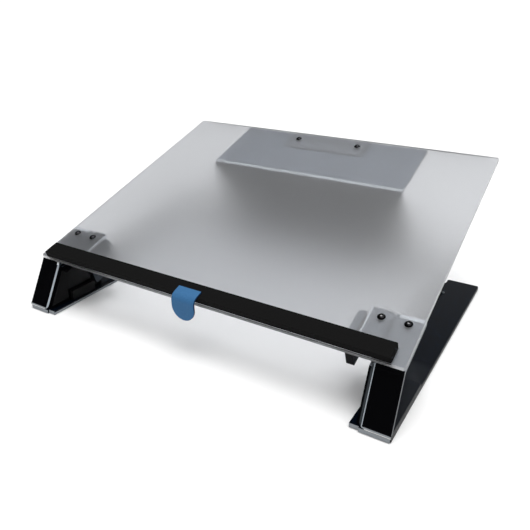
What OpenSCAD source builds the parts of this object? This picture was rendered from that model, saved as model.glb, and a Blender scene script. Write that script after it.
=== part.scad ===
// Sloping document holder. A frosted acrylic board stands on two black feet
// and a rear leg. The feet slide along two flat tracks, so the whole board
// can be pushed back and pulled out over a keyboard like a drawer.
// Millimetres. +X is to the right, +Y to the back, +Z up. The desk is z = 0.

/* [Board] */
// Width of the frosted board
board_w = 525; // [480:5:620]
// Length of the board up its slope
board_l = 400; // [385:5:440]
// Thickness of the board
board_t = 5; // [4:0.5:8]
// Radius of the board's corners
board_corner_r = 3; // [1:0.5:8]
// Slope of the board in degrees
board_tilt = 18; // [14:1:21]
// Height of the board's top face at its front edge
front_height = 70; // [66:1:84]

/* [Document ledge] */
// Gap between the end of the ledge and the side of the board
ledge_end_gap = 12; // [6:0.5:30]
// Sideways place of the ledge, measured from the middle
ledge_shift = -2; // [-4:0.5:4]
// Depth of the ledge, front to back
ledge_depth = 21.5; // [13:0.5:26]
// Height of the ledge above the board
ledge_h = 8; // [5:0.5:12]
// Distance of the ledge from the board's front edge
ledge_set = 0.4; // [0.2:0.1:3]
// Radius of the ledge's upright corners
ledge_corner_r = 1.5; // [0.5:0.5:6]

/* [Pull tab] */
// Width of the tab
tab_w = 33; // [26:1:44]
// Thickness of the tab
tab_t = 2.5; // [1.5:0.5:4]
// Sideways place of the tab, measured from the middle
tab_shift = -5; // [-60:1:60]
// Length of the tab that is bonded to the top of the ledge
tab_lap = 9.4; // [5:0.2:12]
// How far the tab runs forward of the ledge before it bends
tab_reach = 0.7; // [0.2:0.1:3]
// Inside radius of the tab's bend
tab_bend_r = 7; // [5:0.5:10]
// Length of the hanging part, with its round end
tab_drop = 23; // [23:1:32]
// How far the hanging part leans back, in degrees
tab_lean = 3; // [0:1:10]

/* [Front feet] */
// Width of each foot channel
foot_w = 34; // [30:1:42]
// Thickness of the bent sheet of the channels and cheeks
foot_sheet_t = 3.5; // [2.5:0.5:4.5]
// Outside radius of the bends in the channels and cheeks
foot_bend_r = 6; // [5:0.5:9]
// How far the toe of the foot stands in front of the board
foot_reach = 28; // [20:1:32]
// How far the front of the foot leans back, in degrees
foot_lean = 27; // [20:1:32]
// Length of the foot under the board, up the slope
foot_flange_l = 69; // [60:1:90]
// Thickness of the plate that closes the front of each foot
front_plate_t = 4; // [2:0.5:6]
// Height of the lip that the sole keeps in front, below the front plate
sole_lip = 1.4; // [0.8:0.1:2]
// Width of the cheek's flange under the board
cheek_flange_w = 26.5; // [24:0.5:32]
// How far the cheek's flange starts behind the board's front edge
cheek_set = 9; // [6:0.5:16]
// How far the cheek's leaning front lies behind the edge of the channel
cheek_inset = 3.5; // [0.5:0.5:6]

/* [Finger grips] */
// Thickness of each grip plate
grip_t = 9; // [5:0.5:10]
// Length of the grip plate up the slope
grip_l = 45; // [40:1:60]
// Depth of the grip plate below the board
grip_h = 39; // [28:1:42]
// Distance of the grip plate from the board's front edge
grip_set = 15; // [8:1:20]
// Gap between the grip plate and the cheek's flange
grip_gap = 3.5; // [3:0.5:20]
// Radius of the grip plate's lower corners
grip_corner_r = 3; // [1:0.5:6]

/* [Tracks] */
// Width of each track
track_w = 45; // [44:0.5:60]
// Length of each track
track_l = 372; // [360:1:420]
// Thickness of each track
track_t = 5; // [5:0.5:8]
// Radius of the track's corners
track_corner_r = 3; // [1:0.5:8]
// How far the track's front is stepped back beside the foot
track_step = 2; // [1:0.5:6]
// How far the board can be pushed back
travel = 250; // [120:5:255]

/* [Slide shoes] */
// Length of each shoe
shoe_l = 40; // [30:1:44]
// Height of each shoe above its running gap
shoe_h = 14; // [12:0.5:20]
// Thickness of each shoe, sideways
shoe_w = 5; // [4.6:0.1:5.5]
// Width of the tongue that runs in the track's groove
tongue_w = 3; // [2:0.5:3.2]
// Length of the tongue below the top of the track
tongue_depth = 2.2; // [1.4:0.1:2.6]
// Distance from the board's front edge to the shoe
shoe_set = 10; // [6:1:14]
// Thickness of the glide strip under each foot
glide_t = 1; // [0.6:0.1:2]

/* [Rear leg] */
// Width of the rear leg
leg_w = 318; // [240:2:360]
// Thickness of the rear leg's bent sheet
leg_sheet_t = 4; // [3:0.5:5]
// Outside radius of the leg's bend
leg_bend_r = 9; // [7:0.5:14]
// Length of the leg's flange under the board, with its bend
leg_flange_l = 114; // [90:1:120]
// Distance of the flange from the board's rear edge
leg_rear_gap = 2; // [1.5:0.5:14]
// How far the leg leans forward towards its top, in degrees
leg_lean = 26; // [24:1:30]
// Height of the glides under the leg
leg_glide_h = 2; // [1:0.5:4]
// Length of each glide under the leg
leg_glide_l = 60; // [40:5:80]
// Depth of each glide under the leg, front to back
leg_glide_w = 8; // [6:0.5:12]
// Distance of each glide from the side of the leg
leg_glide_inset = 12; // [5:1:30]

/* [Spreader plate] */
// Width of the plate between the board and the rear flange
spreader_w = 136; // [124:1:180]
// Length of the plate up the slope
spreader_l = 44; // [36:1:60]
// Thickness of the plate
spreader_t = 1.5; // [1:0.5:2]
// How far the plate stands out behind the flange
spreader_overhang = 1; // [0.5:0.5:1.5]

/* [Rear tie] */
// Depth of the tie strip, front to back
tie_w = 36; // [20:1:36]
// Thickness of the tie strip
tie_t = 1.5; // [1:0.1:1.8]
// How far the tie reaches under each track
tie_lap = 25; // [18:1:30]
// Distance of the tie from the rear end of the tracks
tie_rear_gap = 6; // [5:1:10]

/* [Fasteners] */
// Diameter of the board bolts
bolt_d = 5; // [4:0.5:6]
// Length of the board bolts under their heads
bolt_l = 16; // [15:0.5:20]
// Diameter of the bolt heads
bolt_head_d = 9.5; // [8:0.5:11]
// Height of the domed bolt heads
bolt_head_h = 2.8; // [2:0.1:3.5]
// Size of the hexagon socket across its corners
bolt_socket_d = 3.4; // [2.5:0.1:4]
// Depth of the hexagon socket
bolt_socket_depth = 1.6; // [1:0.1:1.8]
// Distance between the two rear bolts
rear_bolt_pitch = 104; // [60:1:110]
// Distance of the rear bolts from the board's rear edge
rear_bolt_set = 19; // [16:0.5:26]
// Distance of the front bolts from the rear end of the foot's flange
foot_bolt_set = 13.4; // [9:0.1:24]
// How far the foot bolts stand outward of the middle of their flanges
foot_bolt_shift = 1.75; // [0:0.25:1.75]
// Diameter of the washers
washer_d = 10; // [9:0.5:12]
// Thickness of the washers
washer_t = 1; // [0.8:0.1:1.5]
// Size of the nuts across their corners
nut_d = 9.2; // [8:0.1:11]
// Height of the nuts
nut_h = 4; // [3:0.1:5]
// Diameter of the small screws in the shoes and the tie
screw_d = 3; // [2.5:0.1:3.2]
// Diameter of the small screws' heads
screw_head_d = 5.5; // [5:0.1:6.5]
// Height of the small screws' heads
screw_head_h = 1.3; // [0.8:0.1:1.4]

/* [Rubber pads] */
// Diameter of the pads under the tracks
pad_d = 12; // [8:1:18]
// Thickness of each pad
pad_t = 1.6; // [1.2:0.1:2]
// How far each pad stands out below its track
pad_proud = 0.6; // [0.3:0.1:0.9]
// Number of pads under each track
pad_count = 3; // [2:1:5]
// Distance of the end pads from the ends of their row
pad_end = 20; // [12:1:40]

/* [Hidden] */
$fn = 48;

// Clearances
bolt_play = 0.5;       // on the diameter of the holes that bolts pass through
thread_play = 0.1;     // on the diameter between a thread and its nut or shoe
pocket_play = 0.2;     // round a piece that lies in a pocket
groove_play = 0.6;     // on the width of the groove, round the shoe's tongue
groove_floor = 0.6;    // between the tongue and the floor of the groove
groove_end = 1;        // beyond the tongue at each end of its travel
leg_tie_gap = 4;       // between the rear tie and the leg's glides
shoe_gap = 0.3;        // between the shoe and the top of the track
cut = 1;               // overrun of every cut
tab_bend_steps = 15;   // flats in the tab's bend

// Heights of the tracks and of the feet that stand on them
track_top = pad_proud + track_t;
foot_z = track_top + glide_t;

// Sideways places of the right foot, which is mirrored for the left
side_x = board_w / 2;
wall_x = side_x - foot_w;
track_in_x = side_x - track_w;
cheek_in_x = wall_x - cheek_flange_w;
shoe_face_x = wall_x - foot_sheet_t;
tongue_x = shoe_face_x - shoe_w / 2;

// Places up the slope
leg_front_s = board_l - leg_rear_gap - leg_flange_l;
leg_end_s = board_l - leg_rear_gap;
leg_bend_s = leg_front_s + leg_bend_r;
foot_bolt_s = foot_flange_l - foot_bolt_set;
rear_bolt_s = board_l - rear_bolt_set;
tab_bend_s = ledge_set - tab_reach;

// A point of the sloping frame, s up the slope and n square to it, as [y, z]
function slope_point(s, n) = [s * cos(board_tilt) - n * sin(board_tilt),
                              front_height + s * sin(board_tilt) + n * cos(board_tilt)];

// Height of the plane n above the board's top face, at depth y
function plane_z(y, n) = front_height + y * tan(board_tilt) + n / cos(board_tilt);

// Depth of the leaning front plane, moved back by inset, at height z
function lean_y(z, inset) = -foot_reach + (z - foot_z) * tan(foot_lean) + inset / cos(foot_lean);

// Where the leaning front plane, moved back by inset, meets the plane n, as [y, z]
function lean_meets(n, inset) =
    let (y = (lean_y(front_height, inset) + n * tan(foot_lean) / cos(board_tilt))
             / (1 - tan(board_tilt) * tan(foot_lean)))
    [y, plane_z(y, n)];

// Rear end of each foot
foot_rear_y = slope_point(foot_flange_l, -board_t)[0];

// Centre of the rear leg's bend, and the depth of the middle of its sheet at height z
leg_bend = slope_point(leg_bend_s, -board_t - leg_bend_r);
function leg_y(z) = leg_bend[0] - (leg_bend_r - leg_sheet_t / 2) * cos(leg_lean)
    + (leg_bend[1] - (leg_bend_r - leg_sheet_t / 2) * sin(leg_lean) - z) * tan(leg_lean);

// The tracks start under the toes. The origin is under the middle of the whole part
track_front_y = -foot_reach;
track_rear_y = track_front_y + track_l;
centre_y = (slope_point(board_l, -board_t)[0] - foot_reach) / 2;

// Rear tie, with two screws into each track. It lies as far back as the tracks and the leg leave room
leg_glide_front_y = leg_y(leg_glide_h) - leg_glide_w / 2;
tie_rear_y = min(track_rear_y - tie_rear_gap, leg_glide_front_y - leg_tie_gap);
tie_front_y = tie_rear_y - tie_w;
tie_screw_x = track_in_x + tie_lap / 2;
tie_screw_edge = tie_w / 4;
tie_screw_ys = [tie_front_y + tie_screw_edge, tie_rear_y - tie_screw_edge];
tie_screw_top = track_top - (track_t - tie_t) / 3;

// Screws that hold each shoe, a quarter of its length from its ends
shoe_screw_ys = [shoe_set + shoe_l / 4, shoe_set + shoe_l * 3 / 4];
shoe_screw_z = track_top + shoe_gap + shoe_h * 3 / 4;
shoe_screw_l = 2 * foot_sheet_t + shoe_w * 3 / 4;

// Pads, spread evenly between the toe and the tie
pad_x = side_x - track_w / 2;
pad_first_y = track_front_y + pad_end;
pad_step = (tie_front_y - pad_end - pad_first_y) / (pad_count - 1);
pad_ys = [for (i = [0 : pad_count - 1]) pad_first_y + i * pad_step];

// Board bolts as [x, s, thickness of the sheet under the board]
foot_bolt_xs = [side_x - foot_w / 2 + foot_bolt_shift, wall_x - cheek_flange_w / 2 + foot_bolt_shift];
bolts = [
    for (x = foot_bolt_xs) for (side = [-1, 1]) [side * x, foot_bolt_s, foot_sheet_t],
    for (side = [-1, 1]) [side * rear_bolt_pitch / 2, rear_bolt_s, leg_sheet_t]
];

// Moves a piece from the board's front edge to the part's own origin
module placed() {
    translate([0, -centre_y, 0]) children();
}

// Moves a piece into the sloping frame of the board's top face
module on_slope() {
    placed() translate([0, 0, front_height]) rotate([board_tilt, 0, 0]) children();
}

// Left side of the part, made from the right side
module left_side() {
    mirror([1, 0, 0]) children();
}

// Extrudes an outline drawn in x and z from depth y0 to depth y1
module along_depth(y0, y1) {
    translate([0, y1, 0]) rotate([90, 0, 0]) linear_extrude(y1 - y0) children();
}

// Extrudes an outline drawn in y and z from x0 to x1
module along_width(x0, x1) {
    translate([x0, 0, 0]) rotate([90, 0, 90]) linear_extrude(x1 - x0) children();
}

// Plate outline centred on the origin, with round corners
module rounded_rect(w, l, r) {
    square([w - 2 * r, l], center = true);
    square([w, l - 2 * r], center = true);
    for (x = [-1, 1], y = [-1, 1])
        translate([x * (w / 2 - r), y * (l / 2 - r)]) circle(r);
}

// Part of a ring between two radii, over turn degrees from straight up, anticlockwise
module ring_sector(r_in, r_out, turn) {
    far = 2 * r_out;
    intersection() {
        difference() {
            circle(r_out);
            circle(r_in);
        }
        polygon([[0, 0], far * [cos(90), sin(90)], far * [cos(90 + turn / 2), sin(90 + turn / 2)],
                 far * [cos(90 + turn), sin(90 + turn)]]);
    }
}

// Outline of a bent angle with its outer corner at the origin, a flange to +x and a web downwards
module angle_outline(flange_w, web_h, bend_r, sheet_t) {
    translate([bend_r, -bend_r]) ring_sector(bend_r - sheet_t, bend_r, 90);
    translate([bend_r, -sheet_t]) square([flange_w - bend_r, sheet_t]);
    translate([0, -web_h]) square([sheet_t, web_h - bend_r]);
}

// Space between the leaning front, moved back by inset, and the upright rear of the right foot
module foot_profile(inset) {
    high = front_height + foot_flange_l;
    placed() along_width(cheek_in_x - cut, side_x + cut)
        polygon([[lean_y(0, inset), 0], [lean_y(high, inset), high],
                 [foot_rear_y, high], [foot_rear_y, 0]]);
}

// Plate from x0 to x1 that joins the web of a foot's upper bend to what lies below the height z0
module foot_wall(x0, x1, z0) {
    start_y = -foot_reach - cut;
    end_y = foot_rear_y + cut;
    top_n = -board_t - foot_bend_r - cut / 2;
    placed() along_width(x0, x1)
        polygon([[start_y, z0], [start_y, plane_z(start_y, top_n)],
                 [end_y, plane_z(end_y, top_n)], [end_y, z0]]);
}

// Holes for the board bolts, through everything between two depths below the board
module bolt_holes(depth) {
    for (bolt = bolts)
        translate([bolt[0], bolt[1], -depth]) cylinder(d = bolt_d + bolt_play, h = depth + cut);
}

// Holes for the two screws that hold a shoe, from x0 to x1
module shoe_screw_holes(x0, x1, play) {
    for (y = shoe_screw_ys)
        translate([x0, y, shoe_screw_z]) rotate([0, 90, 0]) cylinder(d = screw_d + play, h = x1 - x0);
}

// Frosted acrylic board with six bolt holes
module board() {
    color([0.78, 0.80, 0.83, 0.6]) on_slope() difference() {
        translate([0, board_l / 2, -board_t])
            linear_extrude(board_t) rounded_rect(board_w, board_l, board_corner_r);
        bolt_holes(board_t + cut);
    }
}

// Soft black strip along the front, on which the papers rest
module document_ledge() {
    color([0.11, 0.11, 0.11]) on_slope() translate([ledge_shift, ledge_set + ledge_depth / 2, 0])
        linear_extrude(ledge_h)
            rounded_rect(board_w - 2 * ledge_end_gap, ledge_depth, ledge_corner_r);
}

// Side outline of a strip that runs level to +x, bends down over turn degrees and goes on straight.
// The origin is the centre of the bend.
module bent_strip_outline(level_l, straight_l, r_in, r_out, turn) {
    step = turn / tab_bend_steps;
    function on_bend(r, a) = r * [-sin(a), cos(a)];
    function beyond(r) = on_bend(r, turn) - straight_l * [cos(turn), sin(turn)];
    polygon(concat([[level_l, r_in], [level_l, r_out]],
                   [for (n = [0:tab_bend_steps]) on_bend(r_out, n * step)],
                   [beyond(r_out), beyond(r_in)],
                   [for (n = [0:tab_bend_steps]) on_bend(r_in, turn - n * step)]));
}

// Blue tab, bonded to the top of the ledge, bent over its front and hanging with a round end
module pull_tab() {
    outer_r = tab_bend_r + tab_t;
    round_r = tab_w / 2;
    bend = slope_point(tab_bend_s, ledge_h - tab_bend_r);
    color([0.24, 0.50, 0.72]) intersection() {
        on_slope() along_width(tab_shift - tab_w, tab_shift + tab_w)
            translate([tab_bend_s, ledge_h - tab_bend_r])
                bent_strip_outline(tab_reach + tab_lap, tab_drop + cut, tab_bend_r, outer_r,
                                   90 - board_tilt + tab_lean);
        placed() translate([tab_shift, bend[0], bend[1]])
            rotate([90 + tab_lean, 0, 0]) linear_extrude(2 * tab_w, center = true) {
                translate([-round_r, round_r - tab_drop]) square([tab_w, tab_drop + outer_r]);
                translate([0, round_r - tab_drop]) circle(round_r);
            }
    }
}

// Bent channel of the right foot, before its holes: a flange under the board, an upright and a sole
module bent_channel() {
    intersection() {
        foot_profile(0);
        union() {
            on_slope() translate([wall_x, 0, -board_t])
                along_depth(-foot_reach, foot_flange_l + foot_reach)
                    angle_outline(foot_w, foot_bend_r + foot_sheet_t, foot_bend_r, foot_sheet_t);
            foot_wall(wall_x, wall_x + foot_sheet_t, foot_z + foot_bend_r + cut / 2);
            placed() translate([wall_x, 0, foot_z]) along_depth(-foot_reach - cut, foot_rear_y + cut)
                mirror([0, 1]) angle_outline(foot_w, foot_bend_r + cut, foot_bend_r, foot_sheet_t);
        }
    }
}

module foot_channel() {
    color([0.05, 0.05, 0.06]) difference() {
        bent_channel();
        front_plate_blank(cut);
        on_slope() bolt_holes(board_t + foot_sheet_t + cut);
        placed() shoe_screw_holes(wall_x - cut, wall_x + foot_sheet_t + cut, bolt_play);
    }
}

// Black cheek on the inner side of the channel, with its own flange under the board
module foot_cheek() {
    color([0.04, 0.04, 0.05]) difference() {
        intersection() {
            foot_profile(cheek_inset);
            union() {
                on_slope() translate([wall_x, 0, -board_t])
                    along_depth(cheek_set, foot_flange_l + foot_reach)
                        mirror([1, 0])
                            angle_outline(cheek_flange_w, foot_bend_r + foot_sheet_t,
                                          foot_bend_r, foot_sheet_t);
                foot_wall(wall_x - foot_sheet_t, wall_x, foot_z);
            }
        }
        on_slope() bolt_holes(board_t + foot_sheet_t + cut);
        placed() shoe_screw_holes(wall_x - foot_sheet_t - cut, wall_x + cut, bolt_play);
    }
}

// Leaning plate between the flange and the lip of the sole, longer by over to the front and the side
module front_plate_blank(over) {
    low = foot_z + sole_lip;
    high_n = -board_t - foot_sheet_t;
    placed() along_width(wall_x + foot_sheet_t, side_x + over)
        polygon([[lean_y(low, -over), low], lean_meets(high_n, -over),
                 lean_meets(high_n, front_plate_t), [lean_y(low, front_plate_t), low]]);
}

// Black plate that closes the front of the channel, let into its sole
module front_plate() {
    color([0.02, 0.02, 0.02]) front_plate_blank(0);
}

// Grip plate that hangs below the board, for pulling with two hands
module finger_grip() {
    outer_x = cheek_in_x - grip_gap;
    color([0.05, 0.05, 0.06]) on_slope() along_width(outer_x - grip_t, outer_x)
        translate([grip_set, -board_t - grip_h]) {
            translate([0, grip_corner_r]) square([grip_l, grip_h - grip_corner_r]);
            translate([grip_corner_r, 0]) square([grip_l - 2 * grip_corner_r, 2 * grip_corner_r]);
            for (s = [grip_corner_r, grip_l - grip_corner_r])
                translate([s, grip_corner_r]) circle(grip_corner_r);
        }
}

// Low-friction shoe, screwed to the cheek, with a tongue that runs in the track's groove
module slide_shoe() {
    color([0.12, 0.12, 0.13]) placed() difference() {
        union() {
            translate([shoe_face_x - shoe_w, shoe_set, track_top + shoe_gap])
                cube([shoe_w, shoe_l, shoe_h]);
            translate([tongue_x - tongue_w / 2, shoe_set, track_top - tongue_depth])
                cube([tongue_w, shoe_l, tongue_depth + shoe_gap + shoe_h / 2]);
        }
        shoe_screw_holes(wall_x + foot_sheet_t - shoe_screw_l, shoe_face_x + cut, thread_play);
    }
}

// Screws through the channel and the cheek into one shoe
module shoe_screw_pair() {
    head_x = wall_x + foot_sheet_t;
    placed() {
        shoe_screw_holes(head_x - shoe_screw_l, head_x + screw_head_h / 2, 0);
        for (y = shoe_screw_ys)
            translate([head_x, y, shoe_screw_z]) rotate([0, 90, 0])
                cylinder(d = screw_head_d, h = screw_head_h);
    }
}

module shoe_screws() {
    color([0.55, 0.55, 0.57]) {
        shoe_screw_pair();
        left_side() shoe_screw_pair();
    }
}

// White glide strip between the sole of one foot and its track
module foot_glide() {
    glide_x = wall_x + foot_bend_r;
    placed() translate([glide_x, lean_y(foot_z, 0), track_top])
        cube([side_x - glide_x, foot_rear_y + foot_reach, glide_t]);
}

module foot_glides() {
    color([0.88, 0.88, 0.86]) {
        foot_glide();
        left_side() foot_glide();
    }
}

// Rear leg: a flange bolted under the board and a leaning panel down to the desk, bent from one sheet
module rear_leg() {
    panel_l = front_height + board_l * sin(board_tilt);
    pocket_w = spreader_w + 2 * pocket_play;
    pocket_s = leg_end_s + spreader_overhang - spreader_l - pocket_play;
    color([0.05, 0.05, 0.06]) difference() {
        on_slope() difference() {
            along_width(-leg_w / 2, leg_w / 2) {
                translate([leg_bend_s, -board_t - leg_sheet_t])
                    square([leg_end_s - leg_bend_s, leg_sheet_t]);
                translate([leg_bend_s, -board_t - leg_bend_r]) {
                    ring_sector(leg_bend_r - leg_sheet_t, leg_bend_r, 90 + leg_lean - board_tilt);
                    rotate(90 + leg_lean - board_tilt) translate([-panel_l, leg_bend_r - leg_sheet_t])
                        square([panel_l, leg_sheet_t]);
                }
            }
            translate([-pocket_w / 2, pocket_s, -board_t - spreader_t])
                cube([pocket_w, spreader_l + cut, spreader_t + cut]);
            bolt_holes(board_t + leg_sheet_t + cut);
        }
        placed() translate([-leg_w / 2 - cut, 0, leg_glide_h - panel_l])
            cube([leg_w + 2 * cut, board_l + panel_l, panel_l]);
    }
}

// White glides under the two ends of the rear leg
module rear_leg_glides() {
    glide_x = leg_w / 2 - leg_glide_inset - leg_glide_l / 2;
    color([0.88, 0.88, 0.86]) placed() for (side = [-1, 1])
        translate([side * glide_x, leg_y(leg_glide_h), leg_glide_h / 2])
            cube([leg_glide_l, leg_glide_w, leg_glide_h], center = true);
}

// Thin plate under the rear bolts, let into the top of the leg's flange
module spreader_plate() {
    color([0.16, 0.17, 0.19]) on_slope() difference() {
        translate([-spreader_w / 2, leg_end_s + spreader_overhang - spreader_l, -board_t - spreader_t])
            cube([spreader_w, spreader_l, spreader_t]);
        bolt_holes(board_t + leg_sheet_t + cut);
    }
}

// Domed head with a hexagon socket, and a plain shank
module board_bolt() {
    head_r = bolt_head_d / 2;
    dome_r = (head_r * head_r + bolt_head_h * bolt_head_h) / (2 * bolt_head_h);
    difference() {
        intersection() {
            translate([0, 0, bolt_head_h - dome_r]) sphere(dome_r);
            cylinder(r = head_r, h = bolt_head_h);
        }
        translate([0, 0, bolt_head_h - bolt_socket_depth])
            cylinder(d = bolt_socket_d, h = bolt_socket_depth + cut, $fn = 6);
    }
    translate([0, 0, -bolt_l]) cylinder(d = bolt_d, h = bolt_l);
}

module board_bolts() {
    color([0.06, 0.06, 0.07]) on_slope() for (bolt = bolts)
        translate([bolt[0], bolt[1], 0]) board_bolt();
}

module board_washers() {
    color([0.62, 0.63, 0.65]) on_slope() for (bolt = bolts)
        translate([bolt[0], bolt[1], -board_t - bolt[2] - washer_t]) difference() {
            cylinder(d = washer_d, h = washer_t);
            translate([0, 0, -cut]) cylinder(d = bolt_d + bolt_play, h = washer_t + 2 * cut);
        }
}

module board_nuts() {
    color([0.62, 0.63, 0.65]) on_slope() for (bolt = bolts)
        translate([bolt[0], bolt[1], -board_t - bolt[2] - washer_t - nut_h]) difference() {
            cylinder(d = nut_d, h = nut_h, $fn = 6);
            translate([0, 0, -cut]) cylinder(d = bolt_d + thread_play, h = nut_h + 2 * cut);
        }
}

// Flat track under the right foot, with a stopped groove for the shoe and a pocket for the tie
module track() {
    groove_w = tongue_w + groove_play;
    groove_depth = tongue_depth + groove_floor;
    pocket_d = pad_d + 2 * pocket_play;
    color([0.05, 0.05, 0.06]) placed() difference() {
        translate([side_x - track_w / 2, track_front_y + track_l / 2, pad_proud])
            linear_extrude(track_t) rounded_rect(track_w, track_l, track_corner_r);
        translate([track_in_x - cut, track_front_y - cut, pad_proud - cut])
            cube([wall_x - track_in_x + cut, track_step + cut, track_t + 2 * cut]);
        translate([tongue_x - groove_w / 2, shoe_set - groove_end, track_top - groove_depth])
            cube([groove_w, shoe_l + travel + 2 * groove_end, groove_depth + cut]);
        translate([track_in_x - cut, tie_front_y - pocket_play, pad_proud - cut])
            cube([tie_lap + pocket_play + cut, tie_w + 2 * pocket_play, tie_t + cut]);
        for (y = tie_screw_ys)
            translate([tie_screw_x, y, pad_proud])
                cylinder(d = screw_d + thread_play, h = tie_screw_top - pad_proud);
        for (y = pad_ys)
            translate([pad_x, y, pad_proud - cut]) cylinder(d = pocket_d, h = pad_t - pad_proud + cut);
    }
}

// Thin steel strip that joins the two tracks from below
module rear_tie() {
    half = track_in_x + tie_lap;
    color([0.10, 0.10, 0.11]) placed() difference() {
        translate([-half, tie_front_y, pad_proud]) cube([2 * half, tie_w, tie_t]);
        for (x = [-tie_screw_x, tie_screw_x]) for (y = tie_screw_ys)
            translate([x, y, pad_proud]) {
                cylinder(d1 = screw_head_d + bolt_play, d2 = screw_d + bolt_play, h = screw_head_h);
                translate([0, 0, -cut]) cylinder(d = screw_d + bolt_play, h = tie_t + 2 * cut);
            }
    }
}

// Countersunk screws that hold the tie
module tie_screws() {
    color([0.55, 0.55, 0.57]) placed() for (x = [-tie_screw_x, tie_screw_x]) for (y = tie_screw_ys)
        translate([x, y, pad_proud]) {
            cylinder(d1 = screw_head_d, d2 = screw_d, h = screw_head_h);
            cylinder(d = screw_d, h = tie_screw_top - pad_proud);
        }
}

// Rubber pads let into the underside of the tracks
module track_pads() {
    color([0.09, 0.09, 0.09]) placed() for (x = [-pad_x, pad_x]) for (y = pad_ys)
        translate([x, y, 0]) cylinder(d = pad_d, h = pad_t);
}

module right_foot_channel() { foot_channel(); }
module left_foot_channel() { left_side() foot_channel(); }
module right_foot_cheek() { foot_cheek(); }
module left_foot_cheek() { left_side() foot_cheek(); }
module right_front_plate() { front_plate(); }
module left_front_plate() { left_side() front_plate(); }
module right_finger_grip() { finger_grip(); }
module left_finger_grip() { left_side() finger_grip(); }
module right_slide_shoe() { slide_shoe(); }
module left_slide_shoe() { left_side() slide_shoe(); }
module right_track() { track(); }
module left_track() { left_side() track(); }

board();
document_ledge();
pull_tab();
left_foot_channel();
right_foot_channel();
left_foot_cheek();
right_foot_cheek();
left_front_plate();
right_front_plate();
left_finger_grip();
right_finger_grip();
left_slide_shoe();
right_slide_shoe();
shoe_screws();
foot_glides();
rear_leg();
rear_leg_glides();
spreader_plate();
board_bolts();
board_washers();
board_nuts();
left_track();
right_track();
rear_tie();
tie_screws();
track_pads();
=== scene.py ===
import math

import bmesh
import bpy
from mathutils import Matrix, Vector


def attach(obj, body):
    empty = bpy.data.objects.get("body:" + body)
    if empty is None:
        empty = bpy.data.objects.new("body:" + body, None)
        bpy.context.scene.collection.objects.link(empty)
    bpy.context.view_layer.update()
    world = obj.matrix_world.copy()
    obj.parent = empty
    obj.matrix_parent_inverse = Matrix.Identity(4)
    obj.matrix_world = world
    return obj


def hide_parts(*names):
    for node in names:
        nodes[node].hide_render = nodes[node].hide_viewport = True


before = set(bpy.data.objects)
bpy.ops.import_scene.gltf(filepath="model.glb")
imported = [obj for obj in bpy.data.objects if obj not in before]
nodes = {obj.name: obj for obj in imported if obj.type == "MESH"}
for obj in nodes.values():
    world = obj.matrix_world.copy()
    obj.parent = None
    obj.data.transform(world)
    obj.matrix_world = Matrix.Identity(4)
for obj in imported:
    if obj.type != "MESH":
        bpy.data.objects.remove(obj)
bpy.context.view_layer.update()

# %% [markdown]
# # A sliding document holder
#
# A frosted board slopes up over the desk. It stands on two glossy black feet and a wide rear leg, and
# it slides back and forth on two flat black tracks. The imported model gives every piece its true size
# and place, so this lesson is about the looks: frosted sheet that blurs what lies below it, polished
# black sheet with paler sawn edges, a matte rubber ledge and a blue woven tab.
#
# ## Count first
#
# All lengths are metres, the desk is at height zero, and the front looks along minus Y. Before anything
# is added, the imported pieces are counted.

print("packed pieces:", len(nodes))

# %% [markdown]
# ## The camera
#
# The photograph was taken from the right, a little above the board, with the picture cropped so that
# the object fills it. The camera could be placed by hand until the picture looks right. Here it was
# fitted to the corners of the board instead, because their slant shows the distance as well. A small
# shift of the frame stands for the crop, so that the vertical edges of the feet stay as they are.

# %% Camera
camera_place = Vector((0.4030, -0.6630, 0.4122))
look_left = math.radians(30.6)
look_down = math.radians(19.07)
lens_mm = 40.2
sensor_mm = 36.0
crop_right = -0.0184
crop_up = -0.1222
far_limit = 500.0

camera_data = bpy.data.cameras.new("camera")
camera_data.lens = lens_mm
camera_data.sensor_width = sensor_mm
camera_data.shift_x = crop_right
camera_data.shift_y = crop_up
camera_data.clip_end = far_limit
camera = bpy.data.objects.new("camera", camera_data)
camera.location = camera_place
camera.rotation_euler = (math.radians(90) - look_down, 0.0, look_left)
bpy.context.scene.collection.objects.link(camera)
bpy.context.scene.camera = camera
print("camera lens in mm:", camera_data.lens)

# %% [markdown]
# ## Small helpers for nodes
#
# A finish is a small net of nodes. It could be drawn by hand in the shader editor. Here a few helpers
# write it, because then each finish reads as a list of what it is made of. A value that is handed to
# them may be a number, a colour or the socket of another node, and they set or link it as it needs.

# %% Give a socket its value
def feed(tree, socket, value):
    """Gives a socket its value: a link where the value is a socket, else a number or a colour."""
    if isinstance(value, bpy.types.NodeSocket):
        tree.links.new(value, socket)
    else:
        socket.default_value = value


def math_node(tree, operation, *values):
    """One Math node. A value is a number or a socket."""
    node = tree.nodes.new("ShaderNodeMath")
    node.operation = operation
    for socket, value in zip(node.inputs, values):
        feed(tree, socket, value)
    return node.outputs[0]


print("helpers: feed sets or links a socket, math_node calculates")

# %% Read a place, and measure along a direction
def coordinates(tree, kind):
    """The place or the normal at which a finish is asked for its colour."""
    return tree.nodes.new("ShaderNodeTexCoord").outputs[kind]


def split(tree, vector):
    """The three numbers of a place or a direction."""
    node = tree.nodes.new("ShaderNodeSeparateXYZ")
    feed(tree, node.inputs[0], vector)
    return node.outputs


def along(tree, vector, direction):
    """How far a place or a normal reaches along a direction."""
    node = tree.nodes.new("ShaderNodeVectorMath")
    node.operation = "DOT_PRODUCT"
    feed(tree, node.inputs[0], vector)
    feed(tree, node.inputs[1], direction)
    return node.outputs["Value"]


print("helpers: coordinates, split and along read a place or a direction")

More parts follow.
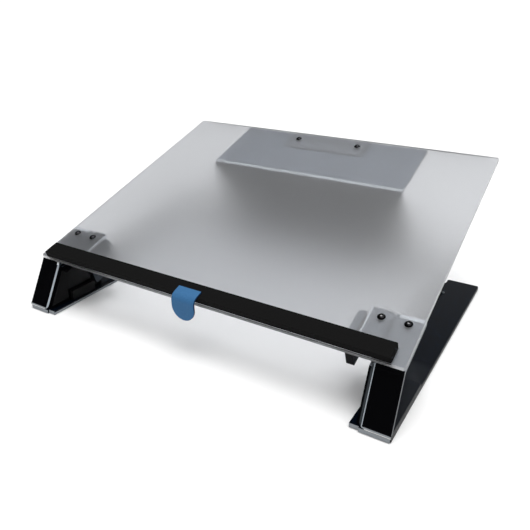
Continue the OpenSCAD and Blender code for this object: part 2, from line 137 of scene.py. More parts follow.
# %% Map a value to a new range
def map_range(tree, value, low, high, from_low=0.0, from_high=1.0, kind="LINEAR"):
    """Maps a value from its own range to a new one."""
    node = tree.nodes.new("ShaderNodeMapRange")
    node.interpolation_type = kind
    for socket_name, start in (("Value", value), ("From Min", from_low), ("From Max", from_high),
                               ("To Min", low), ("To Max", high)):
        feed(tree, node.inputs[socket_name], start)
    return node.outputs[0]


print("helper: map_range changes the range of a value")

# %% Start a material
def principled(material):
    """The material's own shader."""
    return next(node for node in material.node_tree.nodes if node.type == "BSDF_PRINCIPLED")


def new_material(name, color, roughness):
    """A plain material to start from."""
    material = bpy.data.materials.new(name)
    material.use_nodes = True
    shader = principled(material)
    shader.inputs["Base Color"].default_value = (*color, 1.0)
    shader.inputs["Roughness"].default_value = roughness
    return material


print("helper: new_material starts a finish from a colour and a roughness")

# %% [markdown]
# ## The floor
#
# The picture's ground is white paper that runs on without an end. A sheet that curves up behind the
# object could show it. A wide flat grid is simpler here, because the camera looks down and the sky
# behind is white as well. The colours are shown as they are, without a film curve, so that white stays
# white.

# %% Floor
floor_half = 200.0
paper_white = (0.92, 0.92, 0.92)
paper_roughness = 0.8

bpy.context.scene.view_settings.view_transform = "Standard"
floor_mesh = bpy.data.meshes.new("floor")
floor_shape = bmesh.new()
bmesh.ops.create_grid(floor_shape, x_segments=1, y_segments=1, size=floor_half)
floor_shape.to_mesh(floor_mesh)
floor_shape.free()
floor = bpy.data.objects.new("floor", floor_mesh)
bpy.context.scene.collection.objects.link(floor)
floor_mesh.materials.append(new_material("floor_white", paper_white, paper_roughness))
print("floor faces:", len(floor_mesh.polygons))

# %% [markdown]
# ## The sun
#
# The shadows on the ground are faint, and their borders are wide. So the light comes from a broad
# source overhead, like a big soft box. An area lamp could be that box. A sun with a wide angle is used,
# because its light doesn't grow weaker towards the ends of the board, and its width alone sets how soft
# the shadows are.

# %% Sun
sun_energy = 1.2
sun_width = math.radians(34)
sun_tilt = math.radians(5)

sun_data = bpy.data.lights.new("sun", "SUN")
sun_data.energy = sun_energy
sun_data.angle = sun_width
sun = bpy.data.objects.new("sun", sun_data)
sun.rotation_euler = (0.0, sun_tilt, 0.0)
bpy.context.scene.collection.objects.link(sun)
print("sun width in degrees:", round(math.degrees(sun_data.angle)))

# %% [markdown]
# ## The sky
#
# Polished black sheet shows only what it mirrors. In the photograph the fronts of the feet are almost
# pure black, while what looks upwards is paler. So the sky is bright in a cap overhead, nearly dark
# around it, and a little paler at the back. A picture of a studio could be wrapped around the scene.
# Two ramps over the direction are enough, and they have no corners that would show in the gloss.
#
# The camera itself sees plain white, whatever the sky's strength is, as the photograph's ground does.

# %% Sky
sky = bpy.data.worlds.new("sky")
sky.use_nodes = True
bpy.context.scene.world = sky
sky_tree = sky.node_tree
sky_axes = split(sky_tree, coordinates(sky_tree, "Generated"))

cap_lean = 0.15
cap_from = 0.65
cap_to = 0.95
dark_strength = 0.02
cap_strength = 2.2
sideways = math_node(sky_tree, "MULTIPLY_ADD", sky_axes["X"], cap_lean, sky_axes["Z"])
height = math_node(sky_tree, "MULTIPLY_ADD", sky_axes["Y"], -cap_lean, sideways)
sky_cap = map_range(sky_tree, height, dark_strength, cap_strength, cap_from, cap_to, "SMOOTHSTEP")

back_from = 0.2
back_to = 0.9
back_strength = 0.3
sky_back = map_range(sky_tree, sky_axes["Y"], 0.0, back_strength, back_from, back_to)
sky_light = math_node(sky_tree, "ADD", sky_cap, sky_back)
print("sky strength overhead:", cap_strength, "and at the back:", back_strength)

# %% White for the camera
sky_seen = sky_tree.nodes.new("ShaderNodeLightPath").outputs["Is Camera Ray"]
sky_strength = math_node(sky_tree, "MAXIMUM", sky_light, sky_seen)
sky_shader = sky_tree.nodes["Background"]
sky_tree.links.new(sky_strength, sky_shader.inputs["Strength"])
sky_shader.inputs["Color"].default_value = (1.0, 1.0, 1.0, 1.0)

# %% [markdown]
# ## Effects that several finishes share
#
# Real sheet, rubber and steel have some traits in common: a fine grain, soft clouds left by fingers and
# dust, and cut faces that look different from the polished ones. Each of these could be drawn anew in
# every material. A node group is built once and placed in many materials, each with its own values, so
# a change in the group reaches them all. Four groups are enough here.

# %% Node group helper
def new_group(name, inputs, outputs):
    """A shader node group with named sockets. Each input is (name, start value)."""
    group = bpy.data.node_groups.new(name, "ShaderNodeTree")
    for socket_name, value in inputs:
        kind = "NodeSocketVector" if isinstance(value, tuple) else "NodeSocketFloat"
        socket = group.interface.new_socket(socket_name, in_out="INPUT", socket_type=kind)
        socket.default_value = value
    for socket_name in outputs:
        group.interface.new_socket(socket_name, in_out="OUTPUT", socket_type="NodeSocketFloat")
    start = group.nodes.new("NodeGroupInput")
    end = group.nodes.new("NodeGroupOutput")
    print("node group", name, "with", [socket_name for socket_name, value in inputs])
    return group, start.outputs, end.inputs


def noise_node(tree, scale, detail):
    """One Noise Texture node that is fixed to the object."""
    node = tree.nodes.new("ShaderNodeTexNoise")
    feed(tree, node.inputs["Detail"], detail)
    feed(tree, node.inputs["Vector"], coordinates(tree, "Object"))
    feed(tree, node.inputs["Scale"], scale)
    return node.outputs["Fac"]


# %% [markdown]
# ### Grain
#
# Grain is the fine unevenness of cast sheet, rubber and cloth. It could be a picture of the surface,
# but a noise has no seams and stays sharp close up. The group gives its height, and each material
# decides how deep it is.

# %% Grain
grain_detail = 3.0
grain_group, grain_in, grain_out = new_group("grain", [("Scale", 900.0)], ["Height"])
grain_noise = noise_node(grain_group, grain_in["Scale"], grain_detail)
grain_group.links.new(grain_noise, grain_out["Height"])

# %% [markdown]
# ### Smudges
#
# Fingers and dust leave wide, soft clouds on polished plastic, which show only as a change of gloss. A
# painted mask could place each cloud. A coarse noise is enough, because nobody knows where they lie.
# The ramp cuts off both ends of the noise, so that clean places are quite clean.

# %% Smudges
clean_below = 0.35
dusty_above = 0.7
smudge_group, smudge_in, smudge_out = new_group(
    "smudges", [("Scale", 9.0), ("Detail", 5.0), ("Least", 0.05), ("Most", 0.14)], ["Roughness"])
smudge_noise = noise_node(smudge_group, smudge_in["Scale"], smudge_in["Detail"])
smudge_gloss = map_range(smudge_group, smudge_noise, smudge_in["Least"], smudge_in["Most"],
                         clean_below, dusty_above)
smudge_group.links.new(smudge_gloss, smudge_out["Roughness"])

# %% [markdown]
# ### Facing
#
# A sheet has two polished faces and a narrow sawn face all around. The sawn faces could be picked one
# by one and given a material slot of their own. It is less work to find them by the way they look,
# because all of them look to the front, the back or the side. The mask is one where the normal's share
# along a direction lies between two values.

# %% Facing
facing_group, facing_in, facing_out = new_group(
    "facing", [("Direction", (0.0, 0.0, 1.0)), ("Least", 0.9), ("Most", 1.1)], ["Mask"])
facing_share = along(facing_group, coordinates(facing_group, "Normal"), facing_in["Direction"])
above_least = math_node(facing_group, "GREATER_THAN", facing_share, facing_in["Least"])
below_most = math_node(facing_group, "LESS_THAN", facing_share, facing_in["Most"])
facing_mask = math_node(facing_group, "MULTIPLY", above_least, below_most)
facing_group.links.new(facing_mask, facing_out["Mask"])

# %% [markdown]
# ### Within
#
# Two faces may look the same way and yet differ, such as the inner and the outer side of a foot. The
# holder is alike on its left and its right, so a face is told by its distance from the middle and by
# its height. The mask is one between two such distances and two heights.

# %% Within
within_group, within_in, within_out = new_group(
    "within", [("From", 0.0), ("To", 1.0), ("Low", -1.0), ("High", 1.0)], ["Mask"])
within_axes = split(within_group, coordinates(within_group, "Object"))
from_middle = math_node(within_group, "ABSOLUTE", within_axes["X"])
past_from = math_node(within_group, "GREATER_THAN", from_middle, within_in["From"])
before_to = math_node(within_group, "LESS_THAN", from_middle, within_in["To"])
over_low = math_node(within_group, "GREATER_THAN", within_axes["Z"], within_in["Low"])
under_high = math_node(within_group, "LESS_THAN", within_axes["Z"], within_in["High"])
in_width = math_node(within_group, "MULTIPLY", past_from, before_to)
in_height = math_node(within_group, "MULTIPLY", over_low, under_high)
within_group.links.new(math_node(within_group, "MULTIPLY", in_width, in_height), within_out["Mask"])

# %% [markdown]
# ## Placing an effect in a material
#
# A group gives a mask, a height or a roughness, and the material says what it does with it: it mixes
# two colours by the mask, or it lets the height tilt the light. These steps come back in every finish,
# so they are helpers too.

# %% Helpers that place an effect
def add_group(material, group, **values):
    """Places a node group in a material with its own values. Returns its sockets."""
    node = material.node_tree.nodes.new("ShaderNodeGroup")
    node.node_tree = group
    for socket_name, value in values.items():
        node.inputs[socket_name].default_value = value
    return node.outputs


def add_bump(material, height, strength, depth):
    """Feeds a height into the shader's normal. Depth is in metres."""
    tree = material.node_tree
    bump = tree.nodes.new("ShaderNodeBump")
    bump.inputs["Strength"].default_value = strength
    bump.inputs["Distance"].default_value = depth
    tree.links.new(height, bump.inputs["Height"])
    tree.links.new(bump.outputs["Normal"], principled(material).inputs["Normal"])


def mix_color(material, mask, color_a, color_b):
    """Mixes two colours by a mask. Returns the mixed colour's socket."""
    tree = material.node_tree
    mix = tree.nodes.new("ShaderNodeMix")
    mix.data_type = "RGBA"
    feed(tree, mix.inputs[0], mask)
    for socket, color in ((mix.inputs[6], color_a), (mix.inputs[7], color_b)):
        feed(tree, socket, color if isinstance(color, bpy.types.NodeSocket) else (*color, 1.0))
    return mix.outputs[2]


print("helpers: add_group, add_bump and mix_color build a finish, with",
      len(bpy.data.node_groups), "groups to choose from")

# %% [markdown]
# ## The slope of the board
#
# Many faces lie along the board: its own two faces, and the tops of the feet and the leg that are
# bolted to it. They are found by the direction that stands square on the board. The same direction
# measures how high a point lies above the slope, which tells the board's top from its underside.

# %% Slope
slope = math.radians(18)
board_up = (0.0, -math.sin(slope), math.cos(slope))
flat_on_slope = 0.985

board_levels = [vertex.co.dot(Vector(board_up)) for vertex in nodes["board"].data.vertices]
board_middle = (min(board_levels) + max(board_levels)) / 2
print("board thickness in mm:", round((max(board_levels) - min(board_levels)) * 1000, 2))

# %% [markdown]
# ## Frosted board
#
# Frosted acrylic lets light through but scatters it at its rough faces, so what touches it looks sharp
# and what lies deeper melts into a soft blur. A grey sheet with a painted shadow could stand for it,
# but it would be wrong from every other side. Here a rough clear shader on the real 5 mm sheet does
# the blurring by itself. A little plain colour beside the transmission gives the milky look.

# %% Milky acrylic
milky = (0.66, 0.673, 0.695)
acrylic_ior = 1.49
clear_share = 0.97
frosted_gloss = 0.4
frosted_roughness = 0.3

frosted = new_material("frosted_acrylic", milky, frosted_roughness)
frosted_tree = frosted.node_tree
frosted_shader = principled(frosted)
frosted_shader.inputs["Transmission Weight"].default_value = clear_share
frosted_shader.inputs["Specular IOR Level"].default_value = frosted_gloss
frosted_shader.inputs["IOR"].default_value = acrylic_ior
print("share of light let through:", clear_share)

# %% [markdown]
# ### A rougher underside
#
# How far the blur spreads depends on the roughness of the face that the light leaves. The top is
# etched finely, with faint clouds, and the underside more coarsely. The two faces could have two
# materials. One material with a mask is used, because the mask is a single comparison: is the point
# below the middle of the sheet?

# %% Frost on both faces
top_clouds = {"Scale": 6.0, "Detail": 2.0, "Least": 0.29, "Most": 0.34}
underside_roughness = 0.6

top_frost = add_group(frosted, smudge_group, **top_clouds)["Roughness"]
board_level = along(frosted_tree, coordinates(frosted_tree, "Object"), board_up)
underside = math_node(frosted_tree, "LESS_THAN", board_level, board_middle)
frost = map_range(frosted_tree, underside, top_frost, underside_roughness)
frosted_tree.links.new(frost, frosted_shader.inputs["Roughness"])
print("roughness of the underside:", underside_roughness)

# %% [markdown]
# ### The front edge
#
# The narrow front face of the board shows in three ways. Above the feet a painted highlight makes it
# white, where light gathers in the corner. Behind the ledge its upper part gets a painted shadow, dark
# as in the shade of the ledge. Between them it is as milky as the rest. Two masks on the front face
# make this, each with its own distance from the middle.

# %% Painted glow and painted shadow on the front edge
front = (0.0, -1.0, 0.0)
edge_share = 0.7
# The white over the feet is a painted highlight, and the dark behind the ledge is a painted shadow.
painted_glow_from = 0.231
painted_shadow_to = 0.2485
painted_shadow_low = 0.0684
painted_glow_white = (1.0, 1.0, 1.0)
painted_shadow_dark = (0.02, 0.02, 0.02)

front_face = add_group(frosted, facing_group, Direction=front, Least=edge_share)["Mask"]
over_feet = add_group(frosted, within_group, From=painted_glow_from)["Mask"]
painted_glow = math_node(frosted_tree, "MULTIPLY", front_face, over_feet)
behind_ledge = add_group(frosted, within_group, To=painted_shadow_to, Low=painted_shadow_low)["Mask"]
painted_ledge_shadow = math_node(frosted_tree, "MULTIPLY", front_face, behind_ledge)
frosted_color = mix_color(frosted, painted_glow, milky, painted_glow_white)
frosted_color = mix_color(frosted, painted_ledge_shadow, frosted_color, painted_shadow_dark)
frosted_tree.links.new(frosted_color, frosted_shader.inputs["Base Color"])
print("glued length in mm:", round(painted_shadow_to * 2 * 1000))

# %% [markdown]
# ### Etched grain
#
# Up close the etched face sparkles a little. A very shallow bump from the grain is enough. A deeper one
# would disturb the blur, which is this sheet's main trait.

# %% Etched grain
etching_scale = 500.0
etching_strength = 0.02
etching_depth = 0.0001

etched_grain = add_group(frosted, grain_group, Scale=etching_scale)["Height"]
add_bump(frosted, etched_grain, etching_strength, etching_depth)
print("depth of the etching in mm:", etching_depth * 1000)

# %% [markdown]
# ### Light that reaches the floor
#
# The ground below the board is nearly as bright as the rest, because the sheet passes most of the
# light on. The renderer would need very many samples to find its way through two rough faces. For
# shadow rays alone the material is therefore a plain grey filter, which is quick and has no noise.

# %% Light through the board
filter_grey = (0.57, 0.57, 0.57, 1.0)

shadow_ray = frosted_tree.nodes.new("ShaderNodeLightPath").outputs["Is Shadow Ray"]
let_through = frosted_tree.nodes.new("ShaderNodeBsdfTransparent")
let_through.inputs["Color"].default_value = filter_grey
through_mix = frosted_tree.nodes.new("ShaderNodeMixShader")
frosted_output = next(node for node in frosted_tree.nodes if node.type == "OUTPUT_MATERIAL")
frosted_tree.links.new(shadow_ray, through_mix.inputs[0])
frosted_tree.links.new(frosted_shader.outputs[0], through_mix.inputs[1])
frosted_tree.links.new(let_through.outputs[0], through_mix.inputs[2])
frosted_tree.links.new(through_mix.outputs[0], frosted_output.inputs["Surface"])
print("light that reaches the floor:", filter_grey[0])

# %% [markdown]
# ## Black acrylic
#
# Feet, leg and tracks are black sheet. Its faces are polished and almost pure black, and its sawn edges
# scatter the light and look pale. What is pressed against the underside of the board shows through it
# in a tone of its own, because hardly any air lies between. The pieces could be split into faces with a
# slot for each look. One material for each piece, with a list of its cuts, keeps the looks together.

# %% Tones of black sheet
polished = (0.002, 0.002, 0.0025)
# painted sheen: faces that look straight up are paler, for the sky they mirror
painted_sheen_up = (0.012, 0.014, 0.018)
# painted shade: the half of an edge that lies in the shade
painted_shade_edge = (0.035, 0.04, 0.045)
plate_edge = (0.14, 0.15, 0.16)
sawn = (0.27, 0.29, 0.31)
# pale sawn edge with a painted highlight where it catches the light
sawn_and_painted_highlight = (0.38, 0.42, 0.46)
# painted highlight: thin bright lines on edges and on the round of bends
painted_highlight_line = (0.85, 0.88, 0.90)
# painted shade: the left foot's seat is darker than the right one, where less light falls
left_seat_painted_shade = (0.022, 0.03, 0.04)
bonded = (0.215, 0.235, 0.26)
# painted light: the leg's seat is paler than the feet's, where more light falls
leg_seat_painted_light = (0.285, 0.315, 0.36)
print("tones from polished to lit:", polished[1], sawn[1], painted_highlight_line[1])

# %% [markdown]
# ### One cut
#
# A cut is described by its colour, by the way its face looks, and by where it lies. A helper writes
# these down with the usual values filled in, so that each line below names only what is special.

# %% Directions and one cut
up = (0.0, 0.0, 1.0)
back = (0.0, 1.0, 0.0)
left = (-1.0, 0.0, 0.0)
right = (1.0, 0.0, 0.0)
sides = (left, right)


def cut(color, direction, least=edge_share, most=1.1, start=0.0, end=1.0, low=-1.0, high=1.0):
    """One cut: its colour, where its face looks, how far from the middle and how high it lies."""
    looks = {"Direction": direction, "Least": least, "Most": most}
    place = {"From": start, "To": end, "Low": low, "High": high}
    return color, looks, place


def side_cuts(color, **place):
    """The same cut on the left and on the right."""
    return [cut(color, direction, **place) for direction in sides]


print("a plain cut:", cut(sawn, front)[2])

# %% [markdown]
# ### A whole sheet
#
# The sheet's colour starts as polished black. The seat and then each cut are mixed over it, the later
# over the earlier, as coats of paint would be. The same masks make these places dull, and elsewhere
# the smudges set the gloss.

# %% Lay the cuts over a colour
def lay_cuts(material, color, dull, cuts):
    """Mixes each cut over the colour and adds it to the dull places."""
    tree = material.node_tree
    for cut_color, looks, place in cuts:
        faces = add_group(material, facing_group, **looks)["Mask"]
        there = add_group(material, within_group, **place)["Mask"]
        mask = math_node(tree, "MULTIPLY", faces, there)
        color = mix_color(material, mask, color, cut_color)
        dull = mask if dull is None else math_node(tree, "MAXIMUM", dull, mask)
    return color, dull


print("helper: lay_cuts mixes the cuts over the face of a sheet")

# %% Black sheet
smudged = {"Scale": 9.0, "Least": 0.05, "Most": 0.13}
face_roughness = 0.08
face_gloss = 0.08
dull_roughness = 0.42
face_grain = 700.0
face_grain_strength = 0.08
face_grain_depth = 0.0001


def black_sheet(name, cuts, seat=None, reach=flat_on_slope, gloss=face_gloss, face=polished):
    """Polished black sheet with its cuts, and a paler seat where it touches the board."""
    material = new_material(name, face, face_roughness)
    tree = material.node_tree
    shader = principled(material)
    shader.inputs["IOR"].default_value = acrylic_ior
    shader.inputs["Specular IOR Level"].default_value = gloss
    color = face
    dull = None
    if seat is not None:
        dull = add_group(material, facing_group, Direction=board_up, Least=reach)["Mask"]
        color = mix_color(material, dull, color, seat)
    color, dull = lay_cuts(material, color, dull, cuts)
    tree.links.new(color, shader.inputs["Base Color"])
    smudges = add_group(material, smudge_group, **smudged)["Roughness"]
    roughness = map_range(tree, dull, smudges, dull_roughness)
    tree.links.new(roughness, shader.inputs["Roughness"])
    grain = add_group(material, grain_group, Scale=face_grain)["Height"]
    add_bump(material, grain, face_grain_strength, face_grain_depth)
    print("black sheet", name, "with", len(cuts), "cuts")
    return material


# %% [markdown]
# ### Foot channels
#
# Each foot is a bent sheet in the shape of a C that opens to the outside. Through the board its top
# shows as a grey plate with rounded bends, and a bright line, a painted highlight, runs along its rear
# end. At the outside the upper part of its edge is sawn and the lower part polished. The edge of its
# inner wall is sawn; on the left foot a painted highlight makes it catch the light, with a painted
# glint where the bend begins, and on the right foot half of it gets painted shade and half a painted
# highlight. A painted highlight also runs along the top of the sole's front, and the faces that look
# straight up get a painted sheen.

# %% Bends beside the board
bend_reach = 0.75
bend_share = 0.8
bend_tilt = 0.6


def bends(color):
    """The rounded backs of the bends beside the board, which look the same as the seat."""
    leaning = [(side * bend_tilt, board_up[1] * bend_share, board_up[2] * bend_share) for side in (-1, 1)]
    return [cut(color, direction, least=bend_share) for direction in leaning]


print("bends look", [round(number, 3) for number in bends(bonded)[0][1]["Direction"]])

# %% What both channels share
outer_side = 0.2615
sawn_from_height = 0.05
top_end_from = 0.2345
top_end_low = 0.0850
sole_high = 0.0093
sole_rim_high = 0.0105
back_top_low = 0.08
level_share = 0.98
back_share = 0.9

channel_cuts = side_cuts(sawn, start=outer_side, low=sawn_from_height)
# painted highlights: the bright top end, the top of the sole's front and the top of the back
channel_cuts += [cut(painted_highlight_line, board_up, least=flat_on_slope, start=top_end_from, low=top_end_low),
                 cut(sawn, front, high=sole_high),
                 cut(sawn_and_painted_highlight, front, low=sole_high, high=sole_rim_high),
                 cut(sawn, back, least=back_share),
                 cut(painted_highlight_line, back, least=back_share, low=back_top_low)]
channel_cuts += side_cuts(polished, start=outer_side, high=sawn_from_height)
# the faces that look straight up get a painted sheen
channel_cuts += [cut(painted_sheen_up, up, least=level_share)]
print("cuts that both channels share:", len(channel_cuts))

# %% Left and right channel
wall_edge_end = 0.2321
wall_corner_end = 0.2335
wall_corner_low = 0.0615
wall_shade_end = 0.2311

# left foot: sawn wall edge with a painted highlight, and a painted glint where the bend begins
left_wall_cuts = [cut(sawn_and_painted_highlight, front, end=wall_edge_end),
                  cut(painted_highlight_line, front, end=wall_corner_end, low=wall_corner_low)]
# right foot: painted shade on the inner half of the wall's edge, a painted highlight on the outer half
right_wall_cuts = [cut(painted_shade_edge, front, end=wall_shade_end),
                   cut(sawn_and_painted_highlight, front, start=wall_shade_end, end=wall_edge_end)]
# the left foot's seat and bends get a darker painted shade
left_channel = black_sheet("left_channel", bends(left_seat_painted_shade) + channel_cuts + left_wall_cuts,
                           seat=left_seat_painted_shade, reach=bend_reach)
right_channel = black_sheet("right_channel", bends(bonded) + channel_cuts + right_wall_cuts,
                            seat=bonded, reach=bend_reach)

# %% [markdown]
# ### Foot cheeks
#
# A second bent sheet lines the inner side of each foot. Only the end of its top leaf shows, as a thin
# bright line beside the grey plate. It could be a separate strip, but it is the sheet's own sawn end,
# pale and made brighter by a painted highlight, so a cut at the right distance from the middle makes it.

# %% Foot cheeks
leaf_side_end = 0.203
leaf_top_end = 0.2036

cheek_cuts = side_cuts(painted_highlight_line, end=leaf_side_end)
cheek_cuts += [cut(painted_highlight_line, board_up, least=flat_on_slope, end=leaf_top_end)]
# the left cheek's seat and bends get a darker painted shade
left_cheek = black_sheet("left_cheek", bends(left_seat_painted_shade) + cheek_cuts,
                         seat=left_seat_painted_shade, reach=bend_reach)
right_cheek = black_sheet("right_cheek", bends(bonded) + cheek_cuts,
                          seat=bonded, reach=bend_reach)

# %% [markdown]
# ### Front plates
#
# A flat plate closes the leaning front of each foot. It is the blackest face in the picture. Only its
# outer side was sawn, and there it is a dim grey.

# %% Front plates
plate_black = black_sheet("plate_black", side_cuts(plate_edge, start=outer_side))

# %% [markdown]
# ### Tracks
#
# The tracks are the largest black faces that look upwards, and they mirror the sky with a blue cast, so
# they get more gloss, and their colour holds a painted sheen of that blue. Their front ends are sawn.
# Along the inner side only the lower part is pale, which shows as a thin line on the ground. The outer
# side is polished.

# %% Tracks
# painted sheen: the blue of the mirrored sky is in the colour
track_painted_sheen = (0.001, 0.0025, 0.0055)
track_gloss = 0.17
track_inner_end = 0.2185
track_sawn_high = 0.0038

track_cuts = [cut(sawn, front)]
track_cuts += side_cuts(sawn, end=track_inner_end, high=track_sawn_high)
track_cuts += side_cuts(polished, start=outer_side)
track_black = black_sheet("track_black", track_cuts, gloss=track_gloss, face=track_painted_sheen)

# %% [markdown]
# ### Rear leg
#
# The leg is one wide bent sheet. Its flange is bolted to the underside of the board and shows through
# it as a grey field, with painted light that makes it paler than the feet's, and a painted highlight
# along the front of that field stands for the round of the bend catching the light. The round is found
# by its tilt: it looks less straight along the slope than the flange. The sheet's left edge is pale
# sawn with a painted highlight, and its right edge keeps the black of the faces.

# %% Rear leg
leg_side = 0.158
round_least = 0.75
round_most = 0.984

# painted highlights on the left edge and on the round of the bend
leg_cuts = [cut(sawn_and_painted_highlight, left, start=leg_side),
            cut(painted_highlight_line, board_up, least=round_least, most=round_most)]
leg_black = black_sheet("leg_black", leg_cuts, seat=leg_seat_painted_light)

# %% [markdown]
# ### Finger grips
#
# A thick plate hangs under the board beside each foot. Its two sides get painted light, a little paler
# than its front, so that the block reads as a block in the shade below the board.

# %% Finger grips
# painted light on the grip's two sides
grip_side_painted_light = (0.03, 0.036, 0.045)
left_grip = black_sheet("left_grip", side_cuts(grip_side_painted_light), seat=left_seat_painted_shade)
right_grip = black_sheet("right_grip", side_cuts(grip_side_painted_light), seat=bonded)

# %% [markdown]
# ## Grainy finishes
#
# Rubber, woven ribbon, moulded plastic and steel have one colour that their grain varies. The same grain
# that shades the colour also tilts the light, so dark spots lie deep and bright ones high, as on the
# real surfaces. The two sides may get a painted shade of their own, where they face away from the light.

# %% Helper for grainy finishes
shade_share = 0.75
bright_share = 1.25
grain_strength = 0.5


def grainy(name, color, roughness, scale, depth, side=None, **shader_values):
    """A finish with one colour that a fine grain varies, and a painted shade for its two sides."""
    material = new_material(name, color, roughness)
    shader = principled(material)
    for socket_name, value in shader_values.items():
        shader.inputs[socket_name.replace("_", " ")].default_value = value
    grain = add_group(material, grain_group, Scale=scale)["Height"]
    shade = tuple(tone * shade_share for tone in color)
    bright = tuple(min(tone * bright_share, 1.0) for tone in color)
    mixed = mix_color(material, grain, shade, bright)
    # the two sides get a painted shade
    if side is not None:
        for direction in sides:
            faces = add_group(material, facing_group, Direction=direction, Least=edge_share)["Mask"]
            mixed = mix_color(material, faces, mixed, side)
    material.node_tree.links.new(mixed, shader.inputs["Base Color"])
    add_bump(material, grain, grain_strength, depth)
    print("grainy finish", name, "with a depth of", round(depth * 1000, 3), "mm")
    return material


# %% [markdown]
# ### Ledge, tab and pads
#
# The ledge is matte rubber that swallows nearly all light. The tab is a blue ribbon, whose two sides
# get a darker painted shade. The pads under the tracks are a plainer rubber that is hardly ever seen.

# %% Rubber and ribbon
ledge_rubber = grainy("ledge_rubber", (0.006, 0.006, 0.006), roughness=0.75,
                      scale=700.0, depth=0.0002, Specular_IOR_Level=0.05)
# the tab's two sides get a painted shade
tab_ribbon = grainy("tab_ribbon", (0.043, 0.142, 0.30), roughness=0.5,
                    scale=900.0, depth=0.0001, side=(0.01, 0.03, 0.08), Specular_IOR_Level=0.1)
pad_rubber = grainy("pad_rubber", (0.012, 0.012, 0.012), roughness=0.8,
                    scale=1200.0, depth=0.0002)

# %% [markdown]
# ### Glides and shoes
#
# White strips of slippery plastic lie under the feet and the leg. Their sides get a painted shade,
# nearly black, for the shade under the feet. The shoes that run in the tracks are black plastic without
# gloss.

# %% Glides and shoes
# the glides' two sides get a painted shade
glide_white = grainy("glide_white", (0.80, 0.80, 0.78), roughness=0.4,
                     scale=800.0, depth=0.0001, side=(0.03, 0.03, 0.032))
shoe_black = grainy("shoe_black", (0.003, 0.003, 0.0035), roughness=0.4,
                    scale=900.0, depth=0.0001, Specular_IOR_Level=0.1)

# %% [markdown]
# ### Steel
#
# Screws in the tracks, the tie and the bolts are blackened steel, and what is hidden is bare. Both are
# plain metals, so the base colour is the tone of the mirror image.

# %% Steel
black_steel = grainy("black_steel", (0.032, 0.032, 0.034), roughness=0.25,
                     scale=900.0, depth=0.00002, Metallic=1.0)
bright_steel = grainy("bright_steel", (0.55, 0.56, 0.58), roughness=0.35,
                      scale=1800.0, depth=0.00005, Metallic=1.0)

# %% [markdown]
# ### Bolts with worn sockets
#
# The hexagon key has rubbed the black off the bottom of the sockets, which makes the small glints on
# the bolts at the right. A drop of bright material could be laid into each socket. The bottoms are all
# at one level above the slope and below the heads' tops, so a mask by level finds all six at once.

# %% Bolts
bolt_black = (0.024, 0.024, 0.026)
worn_steel = (0.92, 0.92, 0.93)
socket_floor_level = 0.1226
socket_floor_share = 0.99

bolt_steel = grainy("bolt_steel", bolt_black, roughness=0.25, scale=900.0, depth=0.00002, Metallic=1.0)
bolt_tree = bolt_steel.node_tree
bolt_color = principled(bolt_steel).inputs["Base Color"]
bolt_level = along(bolt_tree, coordinates(bolt_tree, "Object"), board_up)
below_tops = math_node(bolt_tree, "LESS_THAN", bolt_level, socket_floor_level)
faces_up = add_group(bolt_steel, facing_group, Direction=board_up, Least=socket_floor_share)["Mask"]
socket_floor = math_node(bolt_tree, "MULTIPLY", below_tops, faces_up)
worn_color = mix_color(bolt_steel, socket_floor, bolt_color.links[0].from_socket, worn_steel)
bolt_tree.links.new(worn_color, bolt_color)
print("sockets are worn below a level of", round(socket_floor_level * 1000, 1), "mm")

# %% [markdown]
# ### Spreader plate
#
# A thin plate under the two rear bolts stands out behind the leg's flange. Through the board it is
# almost as grey as the flange, and only a dark rim along its front and its ends sets it off.

# %% Spreader plate
spreader_seat = (0.27, 0.285, 0.31)
spreader_rim = (0.04, 0.043, 0.047)
spreader_gloss = 0.3
front_rim_high = 0.1759
end_rim_from = 0.0662

rim_cuts = [cut(spreader_rim, board_up, least=flat_on_slope, high=front_rim_high),
            cut(spreader_rim, board_up, least=flat_on_slope, start=end_rim_from)]
spreader_black = black_sheet("spreader_black", rim_cuts, seat=spreader_seat, gloss=spreader_gloss)
print("materials:", len(bpy.data.materials))

# %% [markdown]
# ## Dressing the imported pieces
#
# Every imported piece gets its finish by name. They could be given by hand in the outliner, but a list
# shows at once whether a piece was forgotten, and the print compares the two counts.

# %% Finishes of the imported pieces
finishes = {
    "board": frosted,
    "document_ledge": ledge_rubber,
    "pull_tab": tab_ribbon,
    "left_foot_channel": left_channel,
    "right_foot_channel": right_channel,
    "left_foot_cheek": left_cheek,
    "right_foot_cheek": right_cheek,
    "left_front_plate": plate_black,
    "right_front_plate": plate_black,
    "left_finger_grip": left_grip,
    "right_finger_grip": right_grip,
    "left_slide_shoe": shoe_black,
    "right_slide_shoe": shoe_black,
    "shoe_screws": bright_steel,
    "foot_glides": glide_white,
    "rear_leg": leg_black,
    "rear_leg_glides": glide_white,
    "spreader_plate": spreader_black,
    "board_bolts": bolt_steel,
    "board_washers": bright_steel,
    "board_nuts": bright_steel,
    "left_track": track_black,
    "right_track": track_black,
    "rear_tie": black_steel,
    "tie_screws": black_steel,
    "track_pads": pad_rubber,
}
for name, material in finishes.items():
    slots = nodes[name].data.materials
    slots.clear()
    slots.append(material)
print("packed pieces with a finish:", len(finishes), "of", len(nodes))

# %% [markdown]
# ## Softened edges
#
# No real edge is perfectly sharp: a file or a polishing wheel has broken it, and it catches a thin line
# of light. A Bevel modifier could do this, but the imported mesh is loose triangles. So a copy is merged
# first, flat triangles are joined into whole faces, and the bevel works on the real edges only. The
# small width stays below what the eye measures, and the piece keeps its size.

# %% Helper for softened edges
same_point = 0.00001
same_plane = math.radians(1)
sharp_angle = math.radians(35)


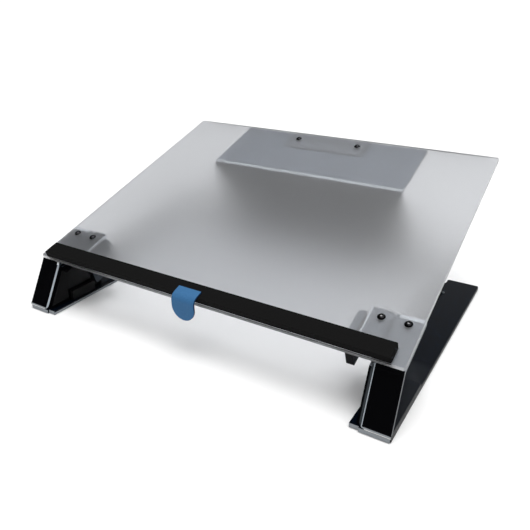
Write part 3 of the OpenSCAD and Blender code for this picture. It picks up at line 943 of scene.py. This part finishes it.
def soften(name, width, body="carriage"):
    """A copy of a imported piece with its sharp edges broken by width, which stands for the piece."""
    shape = bmesh.new()
    shape.from_mesh(nodes[name].data)
    bmesh.ops.remove_doubles(shape, verts=shape.verts, dist=same_point)
    bmesh.ops.dissolve_limit(shape, angle_limit=same_plane, verts=shape.verts, edges=shape.edges)
    sharp = [rim for rim in shape.edges if rim.calc_face_angle(0.0) > sharp_angle]
    bmesh.ops.bevel(shape, geom=sharp, offset=width, offset_type="OFFSET", segments=2, profile=0.5,
                    affect="EDGES", material=-1, clamp_overlap=True)
    mesh = bpy.data.meshes.new(name + "_soft")
    shape.to_mesh(mesh)
    shape.free()
    mesh.shade_smooth()
    mesh.materials.append(finishes[name])
    piece = bpy.data.objects.new(name + "_soft", mesh)
    bpy.context.scene.collection.objects.link(piece)
    flat_first = piece.modifiers.new("flat_first", "WEIGHTED_NORMAL")
    flat_first.weight = 100
    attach(piece, body)
    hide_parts(name)
    print(name, "softened:", len(sharp), "edges,", len(mesh.polygons), "faces")


# %% [markdown]
# ### Which pieces are softened
#
# Screws, bolts, nuts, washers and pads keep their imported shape, because their rounds are already there
# or nobody sees them. The other pieces ride on the body that carries them: the board with its feet and
# leg slides, and the tracks with their tie stay on the desk.

# %% Soften what slides and what stays
broken_edge = 0.0003

for name in ("board", "document_ledge", "pull_tab", "left_foot_channel", "right_foot_channel",
             "left_foot_cheek", "right_foot_cheek", "left_front_plate", "right_front_plate",
             "left_finger_grip", "right_finger_grip", "left_slide_shoe", "right_slide_shoe",
             "foot_glides", "rear_leg", "rear_leg_glides", "spreader_plate"):
    soften(name, broken_edge)
for name in ("left_track", "right_track", "rear_tie"):
    soften(name, broken_edge, "base")

# %% [markdown]
# ## A hair of air under the board
#
# The feet and the leg are packed face to face with the board. Two faces in one plane confuse the
# renderer, which cannot tell whether the light is inside the sheet or outside. On the real holder a
# hair of air lies between them. So the board's lower face is lifted by a hair, which no eye can see.

# %% A hair of air
hair = 0.00005
lower_face_depth = 0.0001

board_mesh = bpy.data.objects["board_soft"].data
board_normal = Vector(board_up)
lowest = min(vertex.co.dot(board_normal) for vertex in board_mesh.vertices)
lifted = [vertex for vertex in board_mesh.vertices
          if vertex.co.dot(board_normal) < lowest + lower_face_depth]
for vertex in lifted:
    vertex.co += board_normal * hair
print("points of the board that were lifted:", len(lifted))

# %% [markdown]
# ## The end
#
# The box of the dressed holder isn't measured here. If it had grown, a piece would stick out that the
# imported model doesn't have.

# %% End
print("the holder is dressed")
